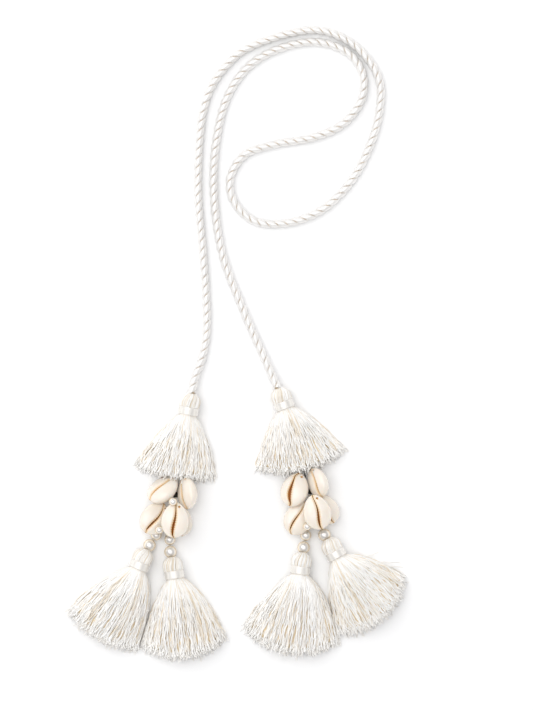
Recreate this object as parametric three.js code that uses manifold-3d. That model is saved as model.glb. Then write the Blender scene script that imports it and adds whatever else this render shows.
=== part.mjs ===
// A twisted cord with a cluster of shells, pearls and tassels on each end, lying on a surface.
// Millimetres. +Z is up from the surface, +Y runs from the tassels to the far end of the cord's loop.
import * as THREE from 'three';
import { mergeVertices } from 'three/addons/utils/BufferGeometryUtils.js';
import Module from 'manifold-3d';

const wasm = await Module();
wasm.setup();

// Driving dimensions, in millimetres.
const GAP = 0.3; // between pieces that touch on the real object

const CORD_DIAMETER = 4;

const HEAD_DIAMETER = 10.4; // the dome of yarn over each binding
const HEAD_HEIGHT = 6.3;
const HEAD_GROOVE = 0.3; // between the ridges of yarn over the dome
const NECK_DIAMETER = 8.2; // the yarn where the binding squeezes it
const BAND_THICKNESS = 0.6;
const BAND_HEIGHT = 4;
const BAND_EASE = 0.3; // its rounded edges

const UPPER_SKIRT_LENGTH = 34.6; // threads below the binding of the two upper tassels
const UPPER_SKIRT_THICKNESS = 10.5; // how high the lying threads stand at the hem
const LOWER_SKIRT_LENGTH = 39.8;
const LOWER_SKIRT_THICKNESS = 11.5;
const LOCK_COUNT = 8; // locks of thread across a skirt
const LOCK_DEPTH = 1; // how far the grooves between locks go in
const HEM_STEP = 2.2; // how far the lock tips and the lowest threads reach past the grooves

const SHELL_LENGTH = 17.8;
const SHELL_WIDTH = 13.9;
const SHELL_BACK = 5.2; // from the widest line down to the back
const SHELL_FACE = 3.1; // from the widest line up to the lips
const SLIT_WIDTH = 1.5;
const SLIT_DEPTH = 3.2;

const PEARL_LARGE = 6.2;
const PEARL_MEDIUM = 5.4;
const PEARL_SMALL = 4;
const PEARL_BORE = 1.5;
const THREAD_DIAMETER = 0.8;
const THREAD_LIFT = 0.2; // of a lying thread over the surface
const THREAD_IN_HEAD = 1.5; // how far a strand's thread runs into the head it carries
const KNOT_DIAMETER = 3;

// The tops of the two upper heads, where the cord's ends go in.
const HEAD_TOPS = { left: [-22.7, 65.2], right: [20.6, 67.8] };

// The middle of the cord, from the left head to the right one: x, y, and the height where it isn't flat.
const CORD_ROUTE = [
  [-22.7, 65.5, 5.2], [-20.8, 74, 3.5], [-17.4, 83.6, 2.2], [-15.2, 98], [-17.1, 136],
  [-19.3, 160], [-19.4, 182], [-17.2, 205.7], [-13.2, 218.2], [-6.3, 228.4],
  [4.4, 237.7], [36.9, 247.1], [51.9, 243.6], [63.8, 234.5], [71.1, 221.5],
  [71.2, 207.3], [66.4, 189.5], [56.4, 171], [41.9, 157], [24.3, 150.6],
  [8.4, 151.8], [-1.7, 161.6], [-3.5, 172.8], [3.1, 184.3], [16.9, 189.6],
  [37.9, 193.4], [53, 200.3], [62.5, 213.5], [62.5, 226], [55, 236],
  [39.9, 241.1], [22.4, 238.3], [6.7, 229.8], [-4.1, 215.5], [-9.7, 196.3],
  [-11.8, 170], [-7.6, 136], [2.9, 107.5, 2.3], [15.7, 78.5, 3.3], [20.4, 68.1, 5.2],
];

// Angles in degrees from straight down the page, positive to the right. "leave" is how the threads at each
// edge come out of the binding, "hem" where they end; the lengths are shares of the skirt's length.
const TASSELS = {
  upper_tassel_left: {
    head: -11, leave: [-54, 35], hem: [-47, 25], lengths: [1.06, 0.94, 1], skirt: 'upper',
  },
  upper_tassel_right: {
    head: 20, leave: [-36, 66], hem: [-27.2, 56], lengths: [0.975, 0.935, 1.05], skirt: 'upper',
  },
  lower_tassel_1: {
    head: -22, leave: [-75, 24], hem: [-59.5, -0.5], lengths: [1.02, 1.01, 1.02], skirt: 'lower',
  },
  lower_tassel_2: {
    head: 9, leave: [-35, 60], hem: [-27.5, 41.5], lengths: [0.95, 1.01, 0.98], skirt: 'lower',
  },
  lower_tassel_3: {
    head: -6.5, leave: [-57, 50], hem: [-46.5, 31], lengths: [0.98, 1.01, 1], skirt: 'lower',
  },
  lower_tassel_4: {
    head: 29, leave: [-14, 92], hem: [-0.5, 75], lengths: [0.965, 0.955, 0.87], skirt: 'lower',
  },
};

// Where each cluster hangs below its upper tassel: the direction, and the share of the skirt's length.
const CLUSTER_HANG = { left: { angle: -13, share: 0.9249 }, right: { angle: 16.4, share: 0.9417 } };

// Shells: x and y from the cluster's top as shares of the shell's length, turn from straight down the page,
// roll about the shell's own length (negative rolls the slit to the left) and pitch (negative sinks its
// drilled end). They differ a little in size. The ones that lie over the others are laid last.
const SHELLS = {
  left: {
    under: [
      { name: 'cowrie_left_3', x: -0.52, y: -1.12, turn: -35, roll: 10, pitch: -14 },
      { name: 'cowrie_left_5', x: 0.2, y: -1.2, turn: 8, roll: 0, pitch: -4, size: 0.88 },
    ],
    over: [
      { name: 'cowrie_left_1', x: -0.28, y: -0.305, turn: -37, roll: -40, pitch: -18 },
      { name: 'cowrie_left_2', x: 0.38, y: -0.4, turn: 18, roll: -52, pitch: -16, size: 0.95 },
      { name: 'cowrie_left_4', x: 0.055, y: -1.165, turn: -4, roll: -3, pitch: 1 },
    ],
  },
  right: {
    under: [
      { name: 'cowrie_right_3', x: -0.17, y: -1.29, turn: -24, roll: 4, pitch: -4 },
      { name: 'cowrie_right_5', x: 0.6, y: -1.04, turn: 30, roll: 8, pitch: -6, size: 0.92 },
    ],
    over: [
      { name: 'cowrie_right_1', x: -0.264, y: -0.48, turn: -14, roll: -12, pitch: -14 },
      { name: 'cowrie_right_2', x: 0.36, y: -0.28, turn: 34, roll: -44, pitch: -18, size: 0.9 },
      { name: 'cowrie_right_4', x: 0.35, y: -1.11, turn: 16, roll: 3, pitch: 6 },
    ],
  },
};

const KNOTS = { left: { x: 0.06, y: -0.47 }, right: { x: 0.16, y: -0.545 } };

// Loose small pearls among the shells, placed like the shells: some tucked under the upper ones, some on top.
const LOOSE_PEARLS = {
  left: {
    tucked: [{ name: 'small_pearl_left_2', x: -0.38, y: -1.445 }],
    perched: [{ name: 'small_pearl_left_1', x: 0.005, y: -0.65 }],
  },
  right: { tucked: [{ name: 'small_pearl_right_1', x: 0.08, y: -1.52 }], perched: [] },
};

// Each strand: where its first pearl lies, then the direction from each piece to the next one, ending with
// the tassel's head. "seat" is how far the head's top lies from the last pearl's surface that way.
const STRANDS = [
  {
    name: 'strand_thread_1', side: 'left', tassel: 'lower_tassel_1', x: -0.475, y: -1.6,
    pearls: [{ size: PEARL_MEDIUM, turn: -33 }, { size: PEARL_LARGE, turn: -40 }], seat: -0.6,
  },
  {
    name: 'strand_thread_2', side: 'left', tassel: 'lower_tassel_2', x: -0.093, y: -1.731,
    pearls: [{ size: PEARL_MEDIUM, turn: 3 }, { size: PEARL_LARGE, turn: 13 }], seat: -0.5,
  },
  {
    name: 'strand_thread_3', side: 'right', tassel: 'lower_tassel_3', x: 0.042, y: -1.78,
    pearls: [{ size: PEARL_MEDIUM, turn: -10 }, { size: PEARL_LARGE, turn: -15 }], seat: -0.6,
  },
  {
    name: 'strand_thread_4', side: 'right', tassel: 'lower_tassel_4', x: 0.562, y: -1.763,
    pearls: [{ size: PEARL_LARGE, turn: 37 }], seat: -0.6,
  },
];

// Neighbouring skirts press against each other along these lines: a point as shares of the lower skirt's
// length from the left tassel's throat, and the line's direction.
const SKIRT_CONTACTS = [
  { left: 'lower_tassel_1', right: 'lower_tassel_2', x: 0.168, y: -0.412, angle: -12 },
  { left: 'lower_tassel_2', right: 'lower_tassel_3', x: 0.76, y: -0.6, angle: 0 },
  { left: 'lower_tassel_3', right: 'lower_tassel_4', x: 0.359, y: -0.391, angle: 17 },
];

// Finishes
const finish = (color, roughness) => new THREE.MeshStandardMaterial({ color, roughness, metalness: 0 });
const SILK_CORD = finish(0xf4f2ee, 0.45);
const YARN = finish(0xf3f0e8, 0.6);
const WOUND_SATIN = finish(0xf1eee6, 0.35);
const SHELL_ENAMEL = finish(0xfaf0e4, 0.2);
const PEARL_COAT = finish(0xf4f1ec, 0.15);
const DARK_THREAD = finish(0x15120f, 0.8);
const PALE_THREAD = finish(0xe8e2d6, 0.6);

// Helpers
const radians = THREE.MathUtils.degToRad;
const down = (angle) => new THREE.Vector2(Math.sin(radians(angle)), -Math.cos(radians(angle)));
const lerp = THREE.MathUtils.lerp;

function toSolid(geometry) {
  const bare = geometry.index ? geometry.toNonIndexed() : geometry.clone();
  bare.deleteAttribute('normal');
  bare.deleteAttribute('uv');
  const merged = mergeVertices(bare, 1e-4);
  return new wasm.Manifold(new wasm.Mesh({
    numProp: 3,
    vertProperties: new Float32Array(merged.attributes.position.array),
    triVerts: new Uint32Array(merged.index.array),
  }));
}

function toGeometry(solid) {
  const mesh = solid.getMesh();
  const geometry = new THREE.BufferGeometry();
  const points = new Float32Array(mesh.vertProperties);
  geometry.setAttribute('position', new THREE.BufferAttribute(points, 3));
  geometry.setIndex(new THREE.BufferAttribute(new Uint32Array(mesh.triVerts), 1));
  return geometry;
}

function cutAway(geometry, cutters) {
  const cut = (solid, cutter) => solid.subtract(toSolid(cutter));
  return toGeometry(cutters.reduce(cut, toSolid(geometry)));
}

// Rings of equal length, joined one to the next and closed with a flat fan at each end.
function loft(rings) {
  const count = rings[0].length;
  const points = rings.flat();
  const faces = [];
  for (let r = 0; r + 1 < rings.length; r += 1) {
    for (let i = 0; i < count; i += 1) {
      const a = r * count + i;
      const b = r * count + ((i + 1) % count);
      faces.push(a, b, b + count, a, b + count, a + count);
    }
  }
  const end = (rings.length - 1) * count;
  for (let i = 1; i + 1 < count; i += 1) {
    faces.push(0, i + 1, i, end, end + i, end + i + 1);
  }
  const geometry = new THREE.BufferGeometry().setFromPoints(points);
  geometry.setIndex(faces);
  return geometry;
}

function tube(curve, diameter, steps, sides) {
  const section = new THREE.Shape();
  for (let i = 0; i < sides; i += 1) {
    const a = (i / sides) * 2 * Math.PI;
    const move = i === 0 ? 'moveTo' : 'lineTo';
    section[move]((diameter / 2) * Math.cos(a), (diameter / 2) * Math.sin(a));
  }
  return new THREE.ExtrudeGeometry(section, { extrudePath: curve, steps, bevelEnabled: false });
}

// A tassel lying on the surface: local origin at the head's top, on the surface, with the head pointing
// along +Y. The head's rings are shares of its height and of its radius.
const HEAD_RINGS = [[0, 0.42], [0.1, 0.66], [0.28, 0.88], [0.55, 1], [0.85, 0.97]];
const SKIRT_RINGS = [0.07, 0.18, 0.32, 0.5, 0.72, 1];
const SETTLED = 0.4; // the share of their length by which the threads lie on the surface
const EDGE_THICKNESS = 0.22; // of the skirt at its edges, as a share of its thickness in the middle
const HUMP_POWER = 0.6; // below 1 the hump across the skirt is flatter on top, with steeper sides
const HEM_FLARE_POWER = 4; // how late the lock tips start to reach past the grooves
const CONTROL = 0.34; // how far the threads keep the way they leave, as a share of their length
const THROAT = HEAD_HEIGHT + BAND_HEIGHT + 2 * GAP;

function skirtOf(spec) {
  return spec.skirt === 'upper'
    ? { length: UPPER_SKIRT_LENGTH, thickness: UPPER_SKIRT_THICKNESS }
    : { length: LOWER_SKIRT_LENGTH, thickness: LOWER_SKIRT_THICKNESS };
}

function threadLength(spec, across) {
  const [left, middle, right] = spec.lengths;
  const slope = (right - left) / 2;
  const bow = (right + left) / 2 - middle;
  return skirtOf(spec).length * (middle + slope * across + bow * across * across);
}

// A point of the skirt seen from above: "across" runs from -1 at the left edge to 1, "along" from 0 to the
// hem.
function skirtPoint(spec, across, along, extra) {
  const length = threadLength(spec, across);
  const side = (across + 1) / 2;
  const leave = lerp(spec.leave[0], spec.leave[1], side) - spec.head;
  const hem = lerp(spec.hem[0], spec.hem[1], side) - spec.head;
  const start = new THREE.Vector2((NECK_DIAMETER / 2) * Math.sin((across * Math.PI) / 2), -THROAT);
  const middle = start.clone().addScaledVector(down(leave), length * CONTROL);
  const end = new THREE.Vector2(0, -THROAT).addScaledVector(down(hem), length + extra);
  const a = (1 - along) * (1 - along);
  const b = 2 * along * (1 - along);
  return start.multiplyScalar(a).addScaledVector(middle, b).addScaledVector(end, along * along);
}

function tasselGeometry(spec) {
  const steps = 2 * LOCK_COUNT;
  const shares = [];
  for (let i = 0; i <= steps; i += 1) {
    shares.push({ across: (2 * i) / steps - 1, top: true, crest: i % 2 === 1 });
  }
  for (let i = steps - 2; i > 0; i -= 2) {
    shares.push({ across: (2 * i) / steps - 1, top: false, crest: false });
  }
  shares.reverse();
  const middle = HEAD_DIAMETER / 2;
  const roundRing = (y, radius, groove) => shares.map(({ across, top, crest }) => {
    const turn = (across * Math.PI) / 2;
    const r = radius - (top && !crest ? groove : 0);
    return new THREE.Vector3(r * Math.sin(turn), y, middle + (top ? 1 : -1) * r * Math.cos(turn));
  });
  const skirtRing = (along) => shares.map(({ across, top, crest }) => {
    const settled = THREE.MathUtils.smoothstep(along, 0, SETTLED);
    const round = Math.cos((across * Math.PI) / 2);
    const reach = (top && !crest ? 0 : HEM_STEP) * along ** HEM_FLARE_POWER;
    const place = skirtPoint(spec, across, along, reach);
    const hump = skirtOf(spec).thickness * lerp(EDGE_THICKNESS, 1, round ** HUMP_POWER);
    const groove = top && !crest ? LOCK_DEPTH : 0;
    const high = lerp(middle + (NECK_DIAMETER / 2) * round, hump, settled) - groove * settled;
    const low = lerp(middle - (NECK_DIAMETER / 2) * round, 0, settled);
    return new THREE.Vector3(place.x, place.y, top ? high : low);
  });
  const radius = HEAD_DIAMETER / 2;
  const rings = [
    ...HEAD_RINGS.map(([share, width]) => (
      roundRing(-share * HEAD_HEIGHT, radius * width, HEAD_GROOVE * width)
    )),
    roundRing(-HEAD_HEIGHT, NECK_DIAMETER / 2, 0),
    roundRing(-THROAT, NECK_DIAMETER / 2, 0),
    ...SKIRT_RINGS.map(skirtRing),
  ];
  return loft(rings);
}

// The binding: a wound ring round the neck, with eased edges.
const BAND_SIDES = 14;
function bandGeometry() {
  const inner = NECK_DIAMETER / 2 + GAP;
  const outer = inner + BAND_THICKNESS;
  const profile = [
    [inner, 0], [outer, BAND_EASE], [outer, BAND_HEIGHT - BAND_EASE], [inner, BAND_HEIGHT], [inner, 0],
  ];
  const ring = new THREE.LatheGeometry(profile.map(([r, y]) => new THREE.Vector2(r, y)), BAND_SIDES);
  ring.translate(0, -(HEAD_HEIGHT + GAP + BAND_HEIGHT), HEAD_DIAMETER / 2);
  return ring;
}

// A shell: egg-shaped, flat-faced and round-backed, its length along Y with the drilled end up, its face
// towards +Z.
const SHELL_RINGS = [0.01, 0.09, 0.26, 0.48, 0.7, 0.9, 0.99];
const SHELL_SIDES = 12;

// How wide the shell is at a share of its length, against its widest: a rounded egg
const EGG_WARP = 1.15; // above 1 the widest place is below the middle
const EGG_POWER = 0.52; // smaller is blunter at the ends
function shellSwell(share) {
  const warped = share ** EGG_WARP;
  return (4 * warped * (1 - warped)) ** EGG_POWER;
}

function shellGeometry(size = 1, grow = 0, sides = SHELL_SIDES, stations = SHELL_RINGS) {
  const ring = (share) => {
    const points = [];
    for (let i = 0; i < sides; i += 1) {
      const a = (i / sides) * 2 * Math.PI;
      const rise = Math.sin(a) > 0 ? SHELL_FACE : SHELL_BACK;
      points.push(new THREE.Vector3(
        (size * SHELL_WIDTH / 2 * shellSwell(share) + grow) * Math.cos(a),
        (0.5 - share) * (size * SHELL_LENGTH + 2 * grow),
        (size * rise * shellSwell(share) + grow) * Math.sin(a),
      ));
    }
    return points;
  };
  return loft(stations.map(ring));
}

// The slit: a slightly wavering groove, widest in the middle, that notches both ends.
const SLIT_RINGS = [-0.06, 0.08, 0.22, 0.36, 0.5, 0.64, 0.78, 0.92, 1.06]; // shares of the shell's length
const SLIT_WAVER = 0.02; // how far it strays to either side, as a share of the shell's width
const SLIT_END = 0.45; // its width at the ends, as a share of its width in the middle
const SLIT_MOUTH = 1.3; // its width above the lips, and at the bottom, against its width at the lips
const SLIT_FOOT = 0.4;
const clampShare = (share, margin) => THREE.MathUtils.clamp(share, margin, 1 - margin);
const slitDrift = (share) => SLIT_WAVER * SHELL_WIDTH * Math.sin(2 * Math.PI * (share - 0.1));
const slitHalf = (share) => (
  (SLIT_WIDTH / 2) * lerp(SLIT_END, 1, Math.sin(Math.PI * clampShare(share, 0)))
);

function slitGeometry() {
  const rings = SLIT_RINGS.map((share) => {
    const x = slitDrift(share);
    const half = slitHalf(share);
    const y = (0.5 - share) * SHELL_LENGTH;
    const floor = SHELL_FACE * shellSwell(clampShare(share, 0.05)) - SLIT_DEPTH;
    const mouth = SLIT_MOUTH * half;
    const foot = SLIT_FOOT * half;
    return [[mouth, SHELL_FACE + 1], [-mouth, SHELL_FACE + 1], [-foot, floor], [foot, floor]]
      .map(([dx, z]) => new THREE.Vector3(x + dx, y, z));
  });
  return loft(rings);
}

const PEARL_SIDES = 10;
const PEARL_ARCS = 6;

function pearlGeometry(size) {
  const radius = size / 2;
  const bore = PEARL_BORE / 2;
  const from = Math.asin(bore / radius);
  const profile = [];
  for (let i = 0; i <= PEARL_ARCS; i += 1) {
    const a = lerp(from, Math.PI - from, i / PEARL_ARCS);
    profile.push(new THREE.Vector2(radius * Math.sin(a), -radius * Math.cos(a)));
  }
  profile.push(profile[0].clone());
  return new THREE.LatheGeometry(profile, PEARL_SIDES);
}

// Lowers a mesh onto the surface, or onto the pieces under it, with the gap between them.
const UP = new THREE.Vector3(0, 0, 1);
const CLEAR_HEIGHT = 4 * SHELL_LENGTH;

function worldPoints(mesh) {
  mesh.updateMatrixWorld(true);
  const { position } = mesh.geometry.attributes;
  const point = (_, i) => new THREE.Vector3().fromBufferAttribute(position, i);
  return Array.from({ length: position.count }, point).map((each) => each.applyMatrix4(mesh.matrixWorld));
}

function layDown(mesh, under) {
  mesh.position.z = CLEAR_HEIGHT;
  const own = worldPoints(mesh);
  let drop = Math.min(...own.map((p) => p.z));
  const caster = new THREE.Raycaster();
  for (const p of own) {
    caster.set(p, UP.clone().negate());
    for (const hit of caster.intersectObjects(under, false)) drop = Math.min(drop, hit.distance - GAP);
  }
  for (const other of under) {
    for (const p of worldPoints(other)) {
      caster.set(p, UP);
      for (const hit of caster.intersectObject(mesh, false)) drop = Math.min(drop, hit.distance - GAP);
    }
  }
  mesh.position.z -= drop;
  mesh.updateMatrixWorld(true);
}

const object = new THREE.Group();

function add(name, geometry, material) {
  const mesh = new THREE.Mesh(geometry, material);
  mesh.name = name;
  object.add(mesh);
  return mesh;
}

// Where things are, seen from above
const throatOf = (top, angle) => top.clone().addScaledVector(down(angle), THROAT);

function clusterTop(side) {
  const spec = TASSELS[`upper_tassel_${side}`];
  const { angle, share } = CLUSTER_HANG[side];
  const throat = throatOf(new THREE.Vector2(...HEAD_TOPS[side]), spec.head);
  return throat.addScaledVector(down(angle), share * UPPER_SKIRT_LENGTH);
}

const clusterPoint = (side, { x, y }) => (
  clusterTop(side).add(new THREE.Vector2(x, y).multiplyScalar(SHELL_LENGTH))
);

function strandPlan(strand) {
  let place = clusterPoint(strand.side, strand);
  const pearls = [];
  strand.pearls.forEach(({ size, turn }, i) => {
    pearls.push({ size, place: place.clone() });
    const next = strand.pearls[i + 1];
    const step = size / 2 + (next ? next.size / 2 + GAP : strand.seat + GAP);
    place = place.clone().addScaledVector(down(turn), step);
  });
  return { pearls, headTop: place };
}

const STRAND_PLANS = Object.fromEntries(STRANDS.map((strand) => [strand.name, strandPlan(strand)]));
const headTops = {
  upper_tassel_left: new THREE.Vector2(...HEAD_TOPS.left),
  upper_tassel_right: new THREE.Vector2(...HEAD_TOPS.right),
};
for (const strand of STRANDS) headTops[strand.tassel] = STRAND_PLANS[strand.name].headTop;

const laid = { left: [], right: [] };

// The dark knot between the shells, with the thread it hangs by running up under the hem
const KNOT_SIDES = 8;
const HANGER_IN_SKIRT = 5; // how far the thread runs up inside the skirt

function knotGeometry(length, grow) {
  const radius = KNOT_DIAMETER / 2 + grow;
  const flank = radius * Math.SQRT1_2;
  const neck = THREAD_DIAMETER / 2 + grow;
  const profile = [
    [0, -radius], [flank, -flank], [radius, 0], [flank, flank], [neck, radius], [neck, length], [0, length],
  ];
  return new THREE.LatheGeometry(profile.map(([r, y]) => new THREE.Vector2(r, y)), KNOT_SIDES);
}

const hangers = {};
for (const side of ['left', 'right']) {
  const place = clusterPoint(side, KNOTS[side]);
  const away = clusterTop(side).sub(place);
  const turn = Math.atan2(-away.x, away.y);
  const length = away.length() + HANGER_IN_SKIRT;
  const put = (geometry) => geometry.rotateZ(turn).translate(place.x, place.y, KNOT_DIAMETER / 2);
  laid[side].push(add(`knot_${side}`, put(knotGeometry(length, 0)), DARK_THREAD));
  hangers[side] = put(knotGeometry(length + GAP, GAP));
}

// Pearls and the threads through them
const strandPearls = {};

function layPearl(name, size, place, along, under) {
  const pearl = add(name, pearlGeometry(size), PEARL_COAT);
  pearl.position.set(place.x, place.y, 0);
  const way = new THREE.Vector3(along.x, along.y, 0).normalize();
  pearl.quaternion.setFromUnitVectors(new THREE.Vector3(0, 1, 0), way);
  layDown(pearl, under);
  laid[under === laid.right ? 'right' : 'left'].push(pearl);
  return pearl;
}

// A thread lies on the surface from the knot, then goes straight through each pearl and into the head.
const LYING_SHARES = [0, 0.35, 0.6]; // of the way from the knot to the first pearl
const BORE_SHARES = [-0.48, -0.16, 0.16, 0.48]; // of a pearl's size, from its middle
function threadCurve(strand, plan, pearls) {
  const knotPlace = clusterPoint(strand.side, KNOTS[strand.side]);
  const first = plan.pearls[0].place;
  const away = first.clone().sub(knotPlace).normalize();
  const start = knotPlace.clone().addScaledVector(away, KNOT_DIAMETER / 2 + GAP);
  const low = THREAD_DIAMETER / 2 + THREAD_LIFT;
  const lying = LYING_SHARES.map((share) => start.clone().lerp(first, share));
  const last = plan.pearls.at(-1);
  const tip = last.place.clone().addScaledVector(
    plan.headTop.clone().sub(last.place).normalize(),
    last.size / 2 + Math.max(strand.seat, 0) + THREAD_IN_HEAD,
  );
  return new THREE.CatmullRomCurve3([
    ...lying.map(({ x, y }) => new THREE.Vector3(x, y, low)),
    ...pearls.flatMap((pearl, i) => BORE_SHARES.map((share) => new THREE.Vector3(0, 1, 0)
      .applyQuaternion(pearl.quaternion)
      .multiplyScalar(share * plan.pearls[i].size)
      .add(pearl.position))),
    new THREE.Vector3(tip.x, tip.y, pearls.at(-1).position.z),
  ]);
}

const THREAD_STEPS = 20;
const THREAD_SIDES = 5;
const threadCurves = {};
STRANDS.forEach((strand, index) => {
  const plan = STRAND_PLANS[strand.name];
  const stops = [...plan.pearls.map((pearl) => pearl.place), plan.headTop];
  strandPearls[strand.name] = plan.pearls.map(({ size, place }, i) => {
    const along = stops[i + 1].clone().sub(stops[Math.max(i - 1, 0)]);
    return layPearl(`pearl_${index + 1}_${i + 1}`, size, place, along, laid[strand.side]);
  });
  const curve = threadCurve(strand, plan, strandPearls[strand.name]);
  threadCurves[strand.name] = curve;
  const thread = add(strand.name, tube(curve, THREAD_DIAMETER, THREAD_STEPS, THREAD_SIDES), PALE_THREAD);
  laid[strand.side].push(thread);
});

// Shells and loose pearls, each laid on what is there already
const slottedShell = cutAway(shellGeometry(), [slitGeometry()]);

function placeShell(mesh, side, spec) {
  const { x, y } = clusterPoint(side, spec);
  mesh.position.set(x, y, 0);
  mesh.rotation.set(radians(spec.pitch), radians(spec.roll), radians(spec.turn), 'ZYX');
}

function layShell(side, spec) {
  const size = spec.size ?? 1;
  const shell = add(spec.name, slottedShell.clone().scale(size, size, size), SHELL_ENAMEL);
  placeShell(shell, side, spec);
  layDown(shell, laid[side]);
  laid[side].push(shell);
}

const layLoosePearl = (side, spec) => (
  layPearl(spec.name, PEARL_SMALL, clusterPoint(side, spec), new THREE.Vector2(0, 1), laid[side])
);

for (const side of ['left', 'right']) {
  for (const spec of SHELLS[side].under) layShell(side, spec);
  for (const spec of LOOSE_PEARLS[side].tucked) layLoosePearl(side, spec);
  for (const spec of SHELLS[side].over) layShell(side, spec);
  for (const spec of LOOSE_PEARLS[side].perched) layLoosePearl(side, spec);
}

// Tassels and their bindings
const pageTurn = (mesh, name) => {
  const top = headTops[name];
  mesh.position.set(top.x, top.y, 0);
  mesh.rotation.z = radians(TASSELS[name].head);
  mesh.updateMatrixWorld(true);
};

// The space on the far side of the line where two skirts press together
function contactWall({ left, x, y, angle }, cutsLeft) {
  const throat = throatOf(headTops[left], TASSELS[left].head);
  const point = throat.add(new THREE.Vector2(x, y).multiplyScalar(LOWER_SKIRT_LENGTH));
  const reach = 3 * LOWER_SKIRT_LENGTH;
  return new THREE.BoxGeometry(reach, reach, reach)
    .translate((cutsLeft ? 1 : -1) * (reach - GAP) / 2, 0, 0)
    .rotateZ(radians(angle))
    .translate(point.x, point.y, 0);
}

const CLEARANCE_RINGS = [0.01, 0.1, 0.3, 0.6, 0.9, 0.99];

function shellClearance(side, spec) {
  const shell = new THREE.Mesh(shellGeometry(spec.size ?? 1, 2 * GAP, 8, CLEARANCE_RINGS));
  placeShell(shell, side, spec);
  shell.position.z = laid[side].find((mesh) => mesh.name === spec.name).position.z;
  shell.updateMatrixWorld(true);
  return shell.geometry.applyMatrix4(shell.matrixWorld);
}

// What a tassel makes room for. At an upper one these are the cord's end, and the shells and the hanger under
// the hem; at a lower one the last pearl, its thread and the neighbouring skirts.
function neighbours(name) {
  if (name.startsWith('upper')) {
    const side = name.endsWith('left') ? 'left' : 'right';
    const cordEnd = CORD_ROUTE.at(side === 'left' ? 0 : -1);
    const socket = new THREE.SphereGeometry(CORD_DIAMETER / 2 + GAP, 10, 6).translate(...cordEnd);
    const shells = SHELLS[side].over.slice(0, 2).map((spec) => shellClearance(side, spec));
    return [...shells, hangers[side], socket];
  }
  const strand = STRANDS.find((each) => each.tassel === name);
  const pearl = strandPearls[strand.name].at(-1);
  const dimple = new THREE.SphereGeometry(strand.pearls.at(-1).size / 2 + GAP, 10, 6);
  const walls = SKIRT_CONTACTS.filter(({ left, right }) => left === name || right === name)
    .map((contact) => contactWall(contact, contact.left === name));
  return [
    dimple.translate(...pearl.position.toArray()),
    tube(threadCurves[strand.name], THREAD_DIAMETER + 2 * GAP, THREAD_STEPS, THREAD_SIDES),
    ...walls,
  ];
}

for (const [name, spec] of Object.entries(TASSELS)) {
  const holder = new THREE.Mesh();
  pageTurn(holder, name);
  const whole = tasselGeometry(spec).applyMatrix4(holder.matrixWorld);
  add(name, cutAway(whole, neighbours(name)), YARN);
  const band = add(name.replace('tassel', 'binding'), bandGeometry(), WOUND_SATIN);
  pageTurn(band, name);
}

// The cord
const cordPoints = CORD_ROUTE.map(([x, y, z]) => new THREE.Vector3(x, y, z ?? CORD_DIAMETER / 2));
const CORD_STEPS = 76;
const CORD_SIDES = 8;
const cordCurve = new THREE.CatmullRomCurve3(cordPoints);
add('twisted_cord', tube(cordCurve, CORD_DIAMETER, CORD_STEPS, CORD_SIDES), SILK_CORD);

export default object;
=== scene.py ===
"""Looks for the tassel cord: a twisted cord with shells, pearls and tassels on each end, lying flat.

Millimetres are used while a piece is worked out, and metres in its finished mesh.
"""

from math import asin, cos, pi, radians, sin, sqrt

import bmesh
import bpy
import numpy as np
from mathutils import Matrix, Vector
from mathutils.bvhtree import BVHTree
from mathutils.kdtree import KDTree


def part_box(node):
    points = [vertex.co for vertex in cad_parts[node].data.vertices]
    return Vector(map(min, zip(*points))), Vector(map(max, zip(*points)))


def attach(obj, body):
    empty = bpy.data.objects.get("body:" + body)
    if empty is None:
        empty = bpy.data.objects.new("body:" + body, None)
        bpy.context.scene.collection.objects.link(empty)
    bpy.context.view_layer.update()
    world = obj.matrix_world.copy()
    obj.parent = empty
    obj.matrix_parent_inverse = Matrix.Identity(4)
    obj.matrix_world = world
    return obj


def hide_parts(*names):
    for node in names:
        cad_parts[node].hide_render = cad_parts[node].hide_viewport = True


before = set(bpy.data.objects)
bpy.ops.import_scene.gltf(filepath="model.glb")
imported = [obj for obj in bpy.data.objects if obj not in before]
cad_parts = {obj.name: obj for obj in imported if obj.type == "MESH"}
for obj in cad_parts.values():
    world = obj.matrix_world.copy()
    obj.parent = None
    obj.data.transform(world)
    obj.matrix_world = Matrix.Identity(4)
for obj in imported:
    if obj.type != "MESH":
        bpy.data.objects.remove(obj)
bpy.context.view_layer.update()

MM = 0.001
RANDOM_SEED = 7

# The photograph's frame, and the camera straight above the middle of it
PHOTO_HEIGHT_PX = 710
MM_PER_PX = 0.5
LENS_MM = 300
SENSOR_MM = 36
VIEW_CENTRE = (14.65, 84.75)

# Driving dimensions of the solids, in millimetres
GAP = 0.3
CORD_DIAMETER = 4
HEAD_DIAMETER = 10.4
HEAD_HEIGHT = 6.3
NECK_DIAMETER = 8.2
BAND_THICKNESS = 0.6
BAND_HEIGHT = 4
THROAT = HEAD_HEIGHT + BAND_HEIGHT + 2 * GAP
SKIRTS = {"upper": (34.6, 10.5), "lower": (39.8, 11.5)}  # length, thickness
CONTROL = 0.34  # how far the threads keep the way they leave, as a share of their length
SETTLED = 0.4  # the share of their length by which the threads lie on the surface
EDGE_THICKNESS = 0.22  # of the skirt at its edges, as a share of its thickness in the middle
HUMP_POWER = 0.6  # below 1 the hump across the skirt is flatter on top, with steeper sides
SHELL_LENGTH = 17.8
SHELL_WIDTH = 13.9
SHELL_BACK = 5.2
SHELL_FACE = 3.1
SLIT_WIDTH = 1.5
SLIT_DEPTH = 2.2
PEARL_BORE = 1.5
THREAD_DIAMETER = 0.8
THREAD_LIFT = 0.2
THREAD_IN_HEAD = 1.5
KNOT_DIAMETER = 3

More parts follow.
